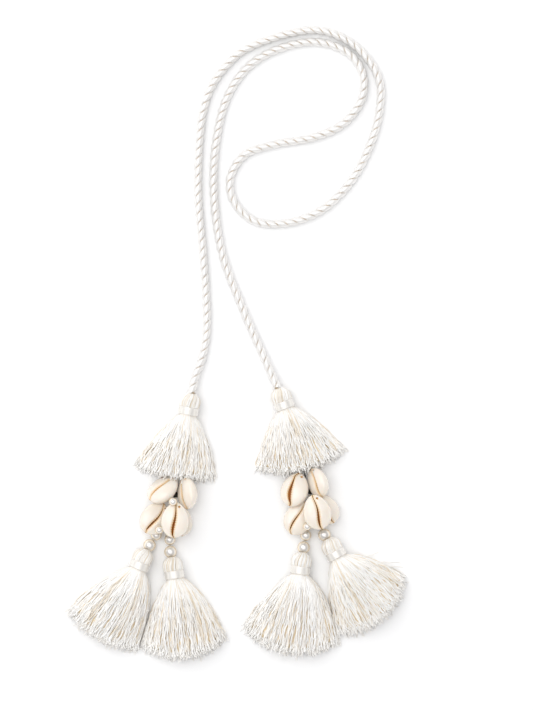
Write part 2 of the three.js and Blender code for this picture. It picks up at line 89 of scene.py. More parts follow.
# The middle of the cord, from the left head to the right one: x, y, and the height where it isn't flat
CORD_ROUTE = [
    (-22.7, 65.5, 5.2), (-20.8, 74, 3.5), (-17.4, 83.6, 2.2), (-15.2, 98), (-17.1, 136),
    (-19.3, 160), (-19.4, 182), (-17.2, 205.7), (-13.2, 218.2), (-6.3, 228.4),
    (4.4, 237.7), (36.9, 247.1), (51.9, 243.6), (63.8, 234.5), (71.1, 221.5),
    (71.2, 207.3), (66.4, 189.5), (56.4, 171), (41.9, 157), (24.3, 150.6),
    (8.4, 151.8), (-1.7, 161.6), (-3.5, 172.8), (3.1, 184.3), (16.9, 189.6),
    (37.9, 193.4), (53, 200.3), (62.5, 213.5), (62.5, 226), (55, 236),
    (39.9, 241.1), (22.4, 238.3), (6.7, 229.8), (-4.1, 215.5), (-9.7, 196.3),
    (-11.8, 170), (-7.6, 136), (2.9, 107.5, 2.3), (15.7, 78.5, 3.3), (20.4, 68.1, 5.2),
]

# Directions in degrees from straight down the page, positive to the right: the head's, the edge threads'
# where they leave it, and the hem's two ends'; then the lengths at the left edge, in the middle and at
# the right edge, as shares of the skirt's length
TASSEL_COLUMNS = ("skirt", "head", "leave", "hem", "lengths")
TASSEL_ROWS = {
    "upper_tassel_left": ("upper", -11, (-54, 35), (-47, 25), (1.06, 0.94, 1)),
    "upper_tassel_right": ("upper", 20, (-36, 66), (-27.2, 56), (0.975, 0.935, 1.05)),
    "lower_tassel_1": ("lower", -22, (-75, 24), (-59.5, -0.5), (1.02, 1.01, 1.02)),
    "lower_tassel_2": ("lower", 9, (-35, 60), (-27.5, 41.5), (0.95, 1.01, 0.98)),
    "lower_tassel_3": ("lower", -6.5, (-57, 50), (-46.5, 31), (0.98, 1.01, 1)),
    "lower_tassel_4": ("lower", 29, (-14, 92), (-0.5, 75), (0.965, 0.955, 0.87)),
}
TASSELS = {name: dict(zip(TASSEL_COLUMNS, row)) for name, row in TASSEL_ROWS.items()}

# Where skirts press against each other: the left one, the right one, a point of the line between them from
# the left one's throat, in shares of the lower skirt's length, and the line's direction in degrees
SKIRT_CONTACTS = [
    ("lower_tassel_1", "lower_tassel_2", (0.168, -0.412), -12),
    ("lower_tassel_2", "lower_tassel_3", (0.76, -0.6), 0),
    ("lower_tassel_3", "lower_tassel_4", (0.359, -0.391), 17),
]

# Shells: turn, roll and pitch in degrees, size against the usual one, how wide the slit is against the
# usual one, and how far it bows to the left and slants down to the right, as shares of the width
SHELLS = {
    "cowrie_left_1": (-37, -40, -18, 1, 0.55, 0.03, 0.03),
    "cowrie_left_2": (18, -52, -16, 0.95, 0.35, 0.04, 0.2),
    "cowrie_left_3": (-35, 10, -14, 1, 0.8, -0.03, -0.05),
    "cowrie_left_4": (-4, -3, 1, 1, 1.15, 0.02, -0.03),
    "cowrie_left_5": (8, 0, -4, 0.88, 0.6, 0.0, 0.0),
    "cowrie_right_1": (-14, -12, -14, 1, 1.4, 0.14, 0.16),
    "cowrie_right_2": (34, -44, -18, 0.9, 0.6, -0.09, 0.05),
    "cowrie_right_3": (-24, 4, -4, 1, 0.55, 0.1, -0.12),
    "cowrie_right_4": (16, 3, 6, 1, 0.9, 0.0, 0.0),
    "cowrie_right_5": (30, 8, -6, 0.92, 0.6, 0.0, 0.0),
}

# Loose threads that stand away from the right-most skirt: where their ends lie
STRAY_ENDS = [(71.0, -14.4), (82.1, -19.5), (83.8, -20.9), (83.4, -26.0)]


# Colours, nodes and meshes

def colour(hex_code):
    """A linear colour from an sRGB hex value."""
    parts = [int(hex_code[i:i + 2], 16) / 255 for i in (1, 3, 5)]
    return tuple(p / 12.92 if p <= 0.04045 else ((p + 0.055) / 1.055) ** 2.4 for p in parts) + (1.0,)


def feed(tree, node, inputs):
    """Gives each socket of a node, by name or number, its value or a link to what feeds it."""
    for key, value in inputs.items():
        if isinstance(key, str):
            target = next(s for s in node.inputs if s.name == key and s.enabled)
        else:
            target = node.inputs[key]
        if isinstance(value, bpy.types.Node):
            value = value.outputs[0]
        if isinstance(value, bpy.types.NodeSocket):
            tree.links.new(value, target)
        else:
            target.default_value = value


def add_node(tree, kind, inputs=None, **settings):
    """Adds a node with its settings and feeds its sockets."""
    made = tree.nodes.new(kind)
    for name, value in settings.items():
        setattr(made, name, value)
    feed(tree, made, inputs or {})
    return made


def math_value(tree, operation, *values):
    """A Math node that is fed with the values."""
    return add_node(tree, "ShaderNodeMath", dict(enumerate(values)), operation=operation)


def vector_value(tree, operation, inputs):
    return add_node(tree, "ShaderNodeVectorMath", inputs, operation=operation)


def named_value(tree, label):
    """A number kept on the points of the geometry."""
    return add_node(tree, "GeometryNodeInputNamedAttribute", {"Name": label}, data_type="FLOAT")


def new_tree(name, sockets):
    """An empty Geometry Nodes tree with named inputs; returns it with those inputs and its output node."""
    tree = bpy.data.node_groups.new(name, "GeometryNodeTree")
    tree.interface.new_socket("Geometry", in_out="INPUT", socket_type="NodeSocketGeometry")
    tree.interface.new_socket("Geometry", in_out="OUTPUT", socket_type="NodeSocketGeometry")
    for label, kind, value in sockets:
        made = tree.interface.new_socket(label, in_out="INPUT", socket_type=f"NodeSocket{kind}")
        if value is not None:
            made.default_value = value
    return tree, add_node(tree, "NodeGroupInput").outputs, add_node(tree, "NodeGroupOutput")


def new_object(name, data):
    made = bpy.data.objects.new(name, data)
    bpy.context.scene.collection.objects.link(made)
    return made


def grow(name, source, tree, values):
    """Runs a tree on a mesh and returns the result as a plain mesh."""
    carrier = new_object(name, source)
    modifier = carrier.modifiers.new(tree.name, "NODES")
    modifier.node_group = tree
    for item in tree.interface.items_tree:
        if item.in_out == "INPUT" and item.name in values:
            modifier[item.identifier] = values[item.name]
    view = bpy.context.evaluated_depsgraph_get()
    mesh = bpy.data.meshes.new_from_object(carrier.evaluated_get(view))
    carrier.modifiers.remove(modifier)
    bpy.data.objects.remove(carrier)
    return mesh


def keep_values(mesh, label, values):
    """Keeps one number for each point of a mesh."""
    layer = mesh.attributes.get(label) or mesh.attributes.new(label, "FLOAT", "POINT")
    layer.data.foreach_set("value", np.asarray(values, np.float32))


def line_mesh(name, lines, **attributes):
    """Edges along each line of points, given in millimetres, with one value of each attribute per point."""
    points = np.concatenate(lines) * MM
    edges = []
    start = 0
    for line in lines:
        steps = np.arange(start, start + len(line) - 1)
        edges.append(np.stack([steps, steps + 1], 1))
        start += len(line)
    mesh = bpy.data.meshes.new(name)
    edges = np.concatenate(edges)
    mesh.vertices.add(len(points))
    mesh.vertices.foreach_set("co", points.astype(np.float32).ravel())
    mesh.edges.add(len(edges))
    mesh.edges.foreach_set("vertices", edges.astype(np.int32).ravel())
    for label, values in attributes.items():
        keep_values(mesh, label, np.concatenate(values))
    mesh.update()
    return mesh


def put(name, meshes, node):
    """Makes one object of the meshes, which stands for a solid."""
    pieces = [new_object(f"{name}_{i}", mesh) for i, mesh in enumerate(meshes)]
    if len(pieces) > 1:
        with bpy.context.temp_override(
            active_object=pieces[0], selected_editable_objects=pieces, selected_objects=pieces
        ):
            bpy.ops.object.join()
    piece = pieces[0]
    piece.name = name
    piece.data.name = name
    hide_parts(node)
    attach(piece, "root")
    return piece


def faces_mesh(name, points, faces, material):
    """A smooth mesh of faces between points, which are given in millimetres."""
    mesh = bpy.data.meshes.new(name)
    mesh.from_pydata((points * MM).tolist(), [], faces)
    mesh.polygons.foreach_set("use_smooth", [True] * len(mesh.polygons))
    mesh.materials.append(material)
    return mesh


def grid_mesh(name, rows, material):
    """A skin over rows of points, closed round each row and with a fan at each end."""
    rows = np.asarray(rows)
    count, width = rows.shape[:2]
    faces = []
    for r in range(count - 1):
        for i in range(width):
            a = r * width + i
            b = r * width + (i + 1) % width
            faces.append((a, b, b + width, a + width))
    points = np.concatenate([rows.reshape(-1, 3), rows[0].mean(0)[None], rows[-1].mean(0)[None]])
    first = count * width
    last = (count - 1) * width
    for i in range(width):
        faces.append((first, (i + 1) % width, i))
        faces.append((first + 1, last + i, last + (i + 1) % width))
    mesh = faces_mesh(name, points, faces, material)
    shell = bmesh.new()
    shell.from_mesh(mesh)
    bmesh.ops.recalc_face_normals(shell, faces=shell.faces)
    shell.to_mesh(mesh)
    shell.free()
    mesh.update()
    return mesh


# Curves

def smooth_route(points, per_span):
    """The centripetal Catmull-Rom curve through the points, as the solids use it."""
    points = [np.array(p, float) for p in points]
    points = [2 * points[0] - points[1], *points, 2 * points[-1] - points[-2]]
    result = []
    for p0, p1, p2, p3 in zip(points, points[1:], points[2:], points[3:]):
        d0, d1, d2 = (sqrt(np.linalg.norm(b - a)) for a, b in ((p0, p1), (p1, p2), (p2, p3)))
        slope1 = ((p1 - p0) / d0 - (p2 - p0) / (d0 + d1) + (p2 - p1) / d1) * d1
        slope2 = ((p2 - p1) / d1 - (p3 - p1) / (d1 + d2) + (p3 - p2) / d2) * d1
        c2 = -3 * p1 + 3 * p2 - 2 * slope1 - slope2
        c3 = 2 * p1 - 2 * p2 + slope1 + slope2
        for t in np.linspace(0, 1, per_span, endpoint=False):
            result.append(p1 + slope1 * t + c2 * t * t + c3 * t ** 3)
    result.append(points[-2])
    return np.array(result)


def evenly(route, step):
    """The same line with points at an even spacing."""
    lengths = np.concatenate([[0], np.cumsum(np.linalg.norm(np.diff(route, axis=0), axis=1))])
    marks = np.linspace(0, lengths[-1], max(2, round(lengths[-1] / step) + 1))
    return np.stack([np.interp(marks, lengths, route[:, i]) for i in range(3)], 1), lengths[-1]


def down(angle):
    return np.array([sin(radians(angle)), -cos(radians(angle))])


def smoothstep(value, low, high):
    share = np.clip((np.asarray(value, float) - low) / (high - low), 0, 1)
    return share * share * (3 - 2 * share)


def box_centre(node):
    low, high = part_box(node)
    return np.array((low + high) / 2) / MM


# Materials

YARN_IOR = 1.53
SHELL_IOR = 1.55


def new_material(name):
    """A new material, with its node tree and its main shader."""
    material = bpy.data.materials.new(name)
    material.use_nodes = True
    return material, material.node_tree, material.node_tree.nodes["Principled BSDF"]


def blended(tree, share, first, second, blend_type="MIX"):
    """The result of a node that mixes two colours."""
    return add_node(
        tree, "ShaderNodeMix", {0: share, 6: first, 7: second}, data_type="RGBA", blend_type=blend_type
    ).outputs[2]


def colour_ramp(tree, share, stops):
    """The result of a ramp through the colours of its stops, each a position and a hex value."""
    ramp = add_node(tree, "ShaderNodeValToRGB", {0: share})
    marks = ramp.color_ramp.elements
    for mark, (position, code) in zip((marks[0], marks[1]), (stops[0], stops[-1])):
        mark.position = position
        mark.color = colour(code)
    for position, code in stops[1:-1]:
        marks.new(position).color = colour(code)
    return ramp.outputs[0]


def thread_lines(tree, turns, pitch, relief):
    """Fine lines that wind round a thread: turns of them side by side, one turn in pitch millimetres."""
    ring = add_node(tree, "ShaderNodeAttribute", attribute_name="ring")
    split = add_node(tree, "ShaderNodeSeparateXYZ", {0: ring.outputs["Vector"]})
    angle = math_value(tree, "ARCTAN2", split.outputs[1], split.outputs[0])
    length = add_node(tree, "ShaderNodeAttribute", attribute_name="along")
    wound = math_value(tree, "MULTIPLY_ADD", length.outputs["Fac"], 2 * pi / (pitch * MM), angle)
    wave = math_value(tree, "SINE", math_value(tree, "MULTIPLY", wound, turns))
    return add_node(tree, "ShaderNodeBump", {"Height": wave, "Distance": relief * MM}).outputs[0]


def yarn_material(name, light, shade, lines, roughness, anisotropy, lustre=0.0):
    """Yarn: its colour goes from shade to light by the tone kept on each thread, which holds random tone
    and painted shade, and painted light at the skirts' cut tips; fine lines wind round it.

    Filament yarn mirrors more than a single clear fibre does, and lustre says how much more.
    """
    material, tree, skin = new_material(name)
    tone = add_node(tree, "ShaderNodeAttribute", attribute_name="tone")
    feed(tree, skin, {
        "Base Color": blended(tree, tone.outputs["Fac"], colour(shade), colour(light)),
        "Normal": thread_lines(tree, *lines), "Roughness": roughness, "Anisotropic": anisotropy,
        "IOR": YARN_IOR, "Metallic": lustre,
    })
    return material


# Viscose rayon, spun in fine plies: off-white with a soft lustre; threads that lie deep get painted warm
# shade, and the cut tips painted light
SKIRT_YARN = yarn_material("viscose rayon tassel yarn", "#FDFCFA", "#E6D4B6", (2, 1.6, 0.015), 0.5, 0.2)
fibres = SKIRT_YARN.node_tree
feed(fibres, fibres.nodes["Principled BSDF"], {"Sheen Weight": 0.35, "Sheen Roughness": 0.45})
# The same yarn drawn tight over the head: each thread shows as a fine line
HEAD_YARN = yarn_material(
    "viscose rayon, drawn over the head", "#FBFAF8", "#E4D8C4", (2, 1.6, 0.0), 0.4, 0.3, 0.1
)
# The same yarn inside the skirt, which sees little light, coloured darker and warmer as painted shade: it
# shows warm and dull between the threads
INNER_YARN = yarn_material("viscose rayon, inner threads", "#F6E8CF", "#EBD8B6", (2, 1.6, 0.0), 0.7, 0)
# Filament rayon laid in strands: bright and silky, its fine lines catch the light along each strand; its
# tan shade colour is painted shade in the grooves
CORD_YARN = yarn_material(
    "filament rayon cord, twisted", "#F1EFEC", "#E9CFA4", (9, -9, 0.03), 0.3, 0.4, 0.35
)
# Filament rayon wound tight: satin, with one bright line along the light
BINDING_YARN = yarn_material("wound satin rayon", "#EFECE7", "#E2DCD1", (1, 2, 0.0), 0.27, 0.5, 0.35)
# Spun polyester stringing thread, off-white and dull
STRING_YARN = yarn_material(
    "spun polyester stringing thread", "#F3ECDD", "#E6DAC4", (2, 1.2, 0.02), 0.65, 0
)
# Waxed black thread: nearly black, a little shine on the turns
DARK_YARN = yarn_material("waxed black thread", "#1C1815", "#0B0908", (2, 1.2, 0.02), 0.5, 0)


def cowrie_material():
    """Cowrie enamel: glossy ivory with faint clouds of cream; painted shade goes amber and then brown down
    in the slit and the bored hole.
    """
    material, tree, skin = new_material("cowrie enamel, polished by the sea")
    place = add_node(tree, "ShaderNodeTexCoord")
    clouds = add_node(
        tree, "ShaderNodeTexNoise",
        {"Vector": place.outputs["Object"], "Scale": 1 / (6 * MM), "Detail": 2.0},
    )
    cream = blended(tree, clouds.outputs[0], colour("#EBDFCE"), colour("#F1EBE3"))
    # slit_depth holds the painted shade of the slit and the hole, and the faint warm band beside the slit
    depth = add_node(tree, "ShaderNodeAttribute", attribute_name="slit_depth")
    deep = colour_ramp(tree, depth.outputs["Fac"], [
        (0.0, "#FFFFFF"), (0.1, "#FAE8CC"), (0.3, "#EBBE78"), (0.62, "#D2913F"), (1.0, "#9A5F26"),
    ])
    feed(tree, skin, {
        "Base Color": blended(tree, 1.0, cream, deep, "MULTIPLY"), "Roughness": 0.22, "IOR": SHELL_IOR,
        "Coat Weight": 0.35, "Coat Roughness": 0.08, "Subsurface Weight": 0.15,
        "Subsurface Radius": (0.9, 0.6, 0.4), "Subsurface Scale": 1.2 * MM,
    })
    return material


def pearl_material():
    """Pearl coat on a moulded bead under clear gloss; its colour goes by facing: painted reflection,
    silvery in the middle with a grey ring, and painted cream sheen towards the edge.
    """
    material, tree, skin = new_material("pearl coat on moulded bead")
    # Painted reflection and sheen: the colour by facing gives a grey ring of painted reflection and a cream
    # rim of painted sheen
    edge = add_node(tree, "ShaderNodeLayerWeight", {"Blend": 0.5})
    lustre = colour_ramp(tree, edge.outputs["Facing"], [
        (0.02, "#F0EEEC"), (0.1, "#D6D3CF"), (0.24, "#E6E2DC"), (0.45, "#F9EEDA"), (0.9, "#DCC59C"),
    ])
    feed(tree, skin, {
        "Base Color": lustre, "Roughness": 0.16, "Metallic": 0.4, "Specular Tint": colour("#E8C48E"),
        "Coat Weight": 0.5, "Coat Roughness": 0.05,
    })
    return material


COWRIE = cowrie_material()
PEARL = pearl_material()


# Geometry Nodes trees

def sweep(tree, curve, given, radius, out, flatness=1.0):
    """Sweeps a circle or oval along a curve and ends the tree.

    Two attributes are kept: how far along the thread each point lies, and which way round it.
    """
    length = add_node(tree, "GeometryNodeSplineParameter")
    measured = add_node(
        tree, "GeometryNodeStoreNamedAttribute",
        {"Geometry": curve, "Name": "along", "Value": length.outputs["Length"]},
        data_type="FLOAT", domain="POINT",
    )
    circle = add_node(
        tree, "GeometryNodeCurvePrimitiveCircle", {"Resolution": given["Sides"], "Radius": 1.0}
    )
    kept = add_node(
        tree, "GeometryNodeStoreNamedAttribute",
        {"Geometry": circle, "Name": "ring", "Value": add_node(tree, "GeometryNodeInputPosition")},
        data_type="FLOAT_VECTOR", domain="POINT",
    )
    width = math_value(tree, "MULTIPLY", radius, flatness)
    scale = add_node(tree, "ShaderNodeCombineXYZ", {0: radius, 1: width, 2: radius})
    profile = add_node(tree, "GeometryNodeTransform", {"Geometry": kept, "Scale": scale})
    swept = add_node(
        tree, "GeometryNodeCurveToMesh",
        {"Curve": measured, "Profile Curve": profile, "Fill Caps": True},
    )
    smooth = add_node(tree, "GeometryNodeSetShadeSmooth", {"Geometry": swept})
    real = add_node(tree, "GeometryNodeRealizeInstances", {"Geometry": smooth})
    done = add_node(tree, "GeometryNodeSetMaterial", {"Geometry": real, "Material": given["Material"]})
    tree.links.new(done.outputs[0], out.inputs[0])
    return tree


def loose_thread_tree():
    """Threads along edge lines, waving more and more towards their free ends, none below the surface."""
    tree, given, out = new_tree("loose threads", [
        ("Thread Radius", "Float", 0.0003), ("Sides", "Int", 5), ("Wave Height", "Float", 0.0005),
        ("Wave Length", "Float", 0.009), ("Seed", "Float", 0.0), ("Material", "Material", None),
    ])
    lines = add_node(tree, "GeometryNodeMeshToCurve", {0: given["Geometry"]})
    curve = add_node(
        tree, "GeometryNodeSetCurveRadius",
        {"Curve": lines, "Radius": named_value(tree, "swell")},
    )
    place = add_node(tree, "GeometryNodeInputPosition")
    # Each thread has its own place in the noise, so neighbours don't wave together
    drift = math_value(tree, "MULTIPLY_ADD", named_value(tree, "own"), 3.0, given["Seed"])
    finer = math_value(tree, "DIVIDE", 1.0, given["Wave Length"])
    noise = add_node(
        tree, "ShaderNodeTexNoise", {"Vector": place, "W": drift, "Scale": finer, "Detail": 1.0},
        noise_dimensions="4D",
    )
    centred = vector_value(tree, "SUBTRACT", {0: noise.outputs["Color"], 1: (0.5, 0.5, 0.5)})
    reach = math_value(tree, "MULTIPLY", named_value(tree, "looseness"), given["Wave Height"])
    # Noise seldom passes a quarter either side of its middle, so it is stretched fourfold
    reach = math_value(tree, "MULTIPLY", reach, 4.0)
    offset = vector_value(tree, "SCALE", {0: centred, "Scale": reach})
    moved = vector_value(tree, "ADD", {0: place, 1: offset})
    split = add_node(tree, "ShaderNodeSeparateXYZ", {0: moved})
    height = math_value(tree, "MAXIMUM", split.outputs[2], given["Thread Radius"])
    lying = add_node(tree, "ShaderNodeCombineXYZ", {0: split.outputs[0], 1: split.outputs[1], 2: height})
    waved = add_node(tree, "GeometryNodeSetPosition", {"Geometry": curve, "Position": lying})
    return sweep(tree, waved, given, given["Thread Radius"], out)


def twisted_tree():
    """Strands twisted round a route: right-handed, each one flattened where it presses on the others."""
    tree, given, out = new_tree("strands twisted round a route", [
        ("Strands", "Int", 2), ("Strand Radius", "Float", 0.001), ("Strand Offset", "Float", 0.001),
        ("Flatness", "Float", 1.0), ("Pitch", "Float", 0.013), ("Step", "Float", 0.0008),
        ("Sides", "Int", 12), ("Material", "Material", None),
    ])
    curve = add_node(tree, "GeometryNodeMeshToCurve", {0: given["Geometry"]})
    even = add_node(
        tree, "GeometryNodeResampleCurve", {"Curve": curve, "Length": given["Step"]},
        mode="LENGTH",
    )
    upright = add_node(tree, "GeometryNodeSetCurveNormal", {"Curve": even}, mode="Z_UP")
    copies = add_node(
        tree, "GeometryNodeDuplicateElements",
        {"Geometry": upright, "Amount": given["Strands"]}, domain="SPLINE",
    )
    length = add_node(tree, "GeometryNodeSplineParameter")
    turns = math_value(tree, "DIVIDE", length.outputs["Length"], given["Pitch"])
    phase = math_value(tree, "DIVIDE", copies.outputs[1], given["Strands"])
    angle = math_value(tree, "MULTIPLY", math_value(tree, "ADD", turns, phase), 2 * pi)
    # The tilt turns the normal round the route, and with it the strand and its flat side
    tilted = add_node(tree, "GeometryNodeSetCurveTilt", {"Curve": copies, "Tilt": angle})
    normal = add_node(tree, "GeometryNodeInputNormal")
    offset = vector_value(tree, "SCALE", {0: normal, "Scale": given["Strand Offset"]})
    wound = add_node(tree, "GeometryNodeSetPosition", {"Geometry": tilted, "Offset": offset})
    return sweep(tree, wound, given, given["Strand Radius"], out, given["Flatness"])


def winding_tree():
    """One thread wound round and round at an even spacing, along Z from zero up."""
    tree, given, out = new_tree("thread wound in turns", [
        ("Turns", "Float", 9.0), ("Winding Radius", "Float", 0.0047), ("Height", "Float", 0.004),
        ("Steps", "Int", 36), ("Thread Radius", "Float", 0.0003), ("Sides", "Int", 6),
        ("Material", "Material", None),
    ])
    radius = given["Winding Radius"]
    spiral = add_node(
        tree, "GeometryNodeCurveSpiral",
        {
            "Resolution": given["Steps"], "Rotations": given["Turns"], "Height": given["Height"],
            "Start Radius": radius, "End Radius": radius,
        },
    )
    return sweep(tree, spiral, given, given["Thread Radius"], out)


LOOSE_THREADS = loose_thread_tree()
TWISTED = twisted_tree()
WINDING = winding_tree()

WAVE_LENGTH = 7.5
TIP_SWELL = 0.9  # how much thicker the cut tips are, where the plies come apart
TIP_START = 0.965


def swept(name, threads, radius, wave, seed, yarn, sides=5):
    """Loose threads as one mesh; each is given by its points, how far along each point is, and its tone."""
    # Over the last tenth of each thread its tone rises most of the way to the light colour: painted light
    # on the cut tips
    source = line_mesh(
        name, [points for points, _, _ in threads],
        tone=[tone + (1 - tone) * 0.8 * smoothstep(along, 0.9, 1) for _, along, tone in threads],
        own=[np.full(len(points), i % 97) for i, (points, _, _) in enumerate(threads)],
        looseness=[along ** 0.8 for _, along, _ in threads],
        swell=[1 + TIP_SWELL * smoothstep(along, TIP_START, 1) for _, along, _ in threads],
    )
    return grow(f"{name}_lines", source, LOOSE_THREADS, {
        "Thread Radius": radius * MM, "Sides": sides, "Wave Height": wave * MM,
        "Wave Length": WAVE_LENGTH * MM, "Seed": float(seed), "Material": yarn,
    })


def plied(name, line, tone, strands, radius, offset, pitch, step, sides, yarn, flatness=1.0):
    """Strands twisted round a line of points; its sizes are in millimetres."""
    source = line_mesh(name, [line], tone=[np.full(len(line), tone)])
    return grow(f"{name}_strands", source, TWISTED, {
        "Strands": strands, "Strand Radius": radius * MM, "Strand Offset": offset * MM,
        "Flatness": flatness, "Pitch": pitch * MM, "Step": step * MM, "Sides": sides, "Material": yarn,
    })


# Camera

camera = new_object("camera", bpy.data.cameras.new("camera"))
camera.data.sensor_fit = "VERTICAL"
camera.data.sensor_height = SENSOR_MM
camera.data.lens = LENS_MM
camera.data.clip_end = 20
camera_height = PHOTO_HEIGHT_PX * MM_PER_PX * LENS_MM / SENSOR_MM
camera.location = (VIEW_CENTRE[0] * MM, VIEW_CENTRE[1] * MM, camera_height * MM)
bpy.context.scene.camera = camera


# The cord

CORD_PITCH = 9.2
STRAND_RADIUS = 1.08
STRAND_OFFSET = 1.05
STRAND_FLATNESS = 1.4
CORE_RADIUS = 0.8  # of the core, whose warmer colour is painted shade in the grooves
CORD_STEP = 0.5
PROBE_STEP = 0.25  # spacing of the points that the strands' distance from the middle is taken from
GROOVE = (1.15, 1.6)  # distances from the middle between which the strands turn from shade to light

cord_points = [p if len(p) == 3 else (*p, CORD_DIAMETER / 2) for p in CORD_ROUTE]
cord_line, cord_length = evenly(smooth_route(cord_points, 24), 1.0)


def make_cord():
    mesh = plied(
        "cord", cord_line, 1, 2, STRAND_RADIUS, STRAND_OFFSET, CORD_PITCH, CORD_STEP, 12, CORD_YARN,
        STRAND_FLATNESS,
    )
    probes = evenly(cord_line, PROBE_STEP)[0]
    middle = KDTree(len(probes))
    for i, point in enumerate(probes):
        middle.insert(point * MM, i)
    middle.balance()
    reach = np.array([middle.find(v.co)[2] for v in mesh.vertices]) / MM
    # Painted shade: the strands are coloured darker and warmer near the middle of the cord, in the grooves
    keep_values(mesh, "tone", smoothstep(reach, *GROOVE))
    core = plied("core", cord_line, 0.3, 1, CORE_RADIUS, 0, CORD_PITCH, 2 * CORD_STEP, 12, INNER_YARN)
    piece = put("silk_cord", [mesh, core], "twisted_cord")


make_cord()


# Shells

SHELL_ROWS = 96
FACE_COLUMNS = 56
BACK_COLUMNS = 26
TEETH = 15
TOOTH_DEPTH = 0.42  # share of the slit's half width
RIDGE_HEIGHT = 0.13  # of the teeth on the lips
RIDGE_WIDTH = 1.6
LIP_ROLL = 0.5
LIP_WIDTH = 1.7
SLIT_WAVE = 0.035  # share of the shell's width
HOLE_SHARE = 0.12  # share of the length from the drilled end
HOLE_SIDE = 1.8
HOLE_RADIUS = 0.6
HOLE_DEPTH = 1.2
END_ANGLE = 0.04  # in radians, how near the outermost rows lie to the very ends
CROWDING = 0.35  # of the rows towards the ends
OUTLINE_POWER = 0.52  # above a half the ends are a little more pointed than an oval's
WIDEST_POWER = 1.15  # above 1 the widest place lies past the middle, away from the drilled end
FACE_POWER = 2.2  # above 2 the face is flatter on top than an oval
# How far the slit's and the hole's painted shade goes towards brown, and the faint warm band beside the
# slit with its width
SLIT_TONE = 0.85
HOLE_TONE = 0.35
SLIT_EDGE_TONE = 0.13
SLIT_EDGE_WIDTH = 1.1


def shell_mesh(name, slit_scale, bow, slant):
    """A cowrie in its own frame: drilled end at +Y, slit towards +Z, teeth along both lips."""
    share = (1 - np.cos(np.linspace(END_ANGLE, pi - END_ANGLE, SHELL_ROWS))) / 2
    share = CROWDING * share + (1 - CROWDING) * np.linspace(share[0], share[-1], SHELL_ROWS)
    warped = share ** WIDEST_POWER
    swell = ((4 * warped * (1 - warped)) ** OUTLINE_POWER)[:, None]
    half_width = SHELL_WIDTH / 2 * swell
    column = np.linspace(-1, 1, FACE_COLUMNS)[None, :]
    # Columns crowd towards the slit
    spread = column * (0.3 + 0.7 * np.abs(column))
    wave = SLIT_WAVE * np.sin(2 * pi * (share - 0.1)) - bow * np.sin(pi * share)
    wave = wave + slant * (share - 0.5)
    drift = (SHELL_WIDTH * wave)[:, None] * np.minimum(1, 3 * swell ** 2)
    face_x = half_width * spread + drift * (1 - np.abs(spread))
    across = np.clip(face_x / half_width, -1, 1)
    face_z = SHELL_FACE * swell * (1 - np.abs(across) ** FACE_POWER) ** 0.5
    beside = np.abs(face_x - drift)
    ends = share[:, None]
    # The slit is widest past the middle and narrows to a fifth at its ends
    half_slit = SLIT_WIDTH / 2 * slit_scale * (0.2 + 0.75 * np.sin(pi * ends ** 1.7) ** 1.5)
    tooth = 0.5 + 0.5 * np.cos(2 * pi * TEETH * share)[:, None]
    half_slit = half_slit * (1 - TOOTH_DEPTH * tooth * np.sin(pi * ends))
    inside = np.clip(1 - (beside / half_slit) ** 2, 0, 1) ** 0.6
    depth = np.minimum(SLIT_DEPTH, 0.55 * (SHELL_FACE + SHELL_BACK) * swell)
    lip = 1 - smoothstep(beside, half_slit, half_slit + LIP_WIDTH)
    ridge = RIDGE_HEIGHT * tooth * np.clip(1 - beside / (half_slit + RIDGE_WIDTH), 0, 1)
    face_z = face_z - depth * inside - LIP_ROLL * lip ** 2 * swell + ridge * (1 - inside)
    face_y = (0.5 - share)[:, None] * SHELL_LENGTH + 0 * face_x
    hole = np.hypot(face_x - HOLE_SIDE, face_y - (0.5 - HOLE_SHARE) * SHELL_LENGTH)
    drilled = 1 - smoothstep(hole, HOLE_RADIUS * 0.7, HOLE_RADIUS)
    face_z = face_z - HOLE_DEPTH * drilled
    # A faint warm band beside the slit
    slit_edge = SLIT_EDGE_TONE * (1 - smoothstep(beside, half_slit, half_slit + SLIT_EDGE_WIDTH))
    # Painted shade: the slit, most in its middle, and the bored hole go amber to brown; beside the slit
    # lies a faint warm band
    colouring = np.maximum.reduce([SLIT_TONE * inside, HOLE_TONE * drilled, slit_edge])

    back_angle = np.linspace(0, pi, BACK_COLUMNS + 2)[1:-1][None, :]
    back_x = half_width * np.cos(back_angle)
    back_z = -SHELL_BACK * swell * np.sin(back_angle)
    back_y = (0.5 - share)[:, None] * SHELL_LENGTH + 0 * back_x
    rows = np.concatenate([
        np.stack([face_x, face_y, face_z], 2), np.stack([back_x, back_y, back_z], 2),
    ], 1)
    mesh = grid_mesh(name, rows, COWRIE)
    tint = np.concatenate([colouring, 0 * back_x], 1).ravel()
    # The two points in the middle of the ends get painted shade as warm as the slit's ends
    keep_values(mesh, "slit_depth", np.append(tint, [0.3, 0.3]))
    return mesh


def make_shell(name):
    turn, roll, pitch, size, slit_scale, bow, slant = SHELLS[name]
    mesh = shell_mesh(name, slit_scale, bow, slant)
    mesh.transform(
        Matrix.Scale(size, 4)
        @ Matrix.Rotation(radians(turn), 4, "Z")
        @ Matrix.Rotation(radians(roll), 4, "Y")
        @ Matrix.Rotation(radians(pitch), 4, "X")
    )
    points = np.array([v.co for v in mesh.vertices])
    low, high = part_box(name)
    middle = (points.min(0) + points.max(0)) / 2
    mesh.transform(Matrix.Translation((low + high) / 2 - Vector(middle)))
    return put(f"{name}_enamel", [mesh], name)


shells = {name: make_shell(name) for name in SHELLS}


# Pearls

PEARL_ROWS = 20
PEARL_COLUMNS = 32


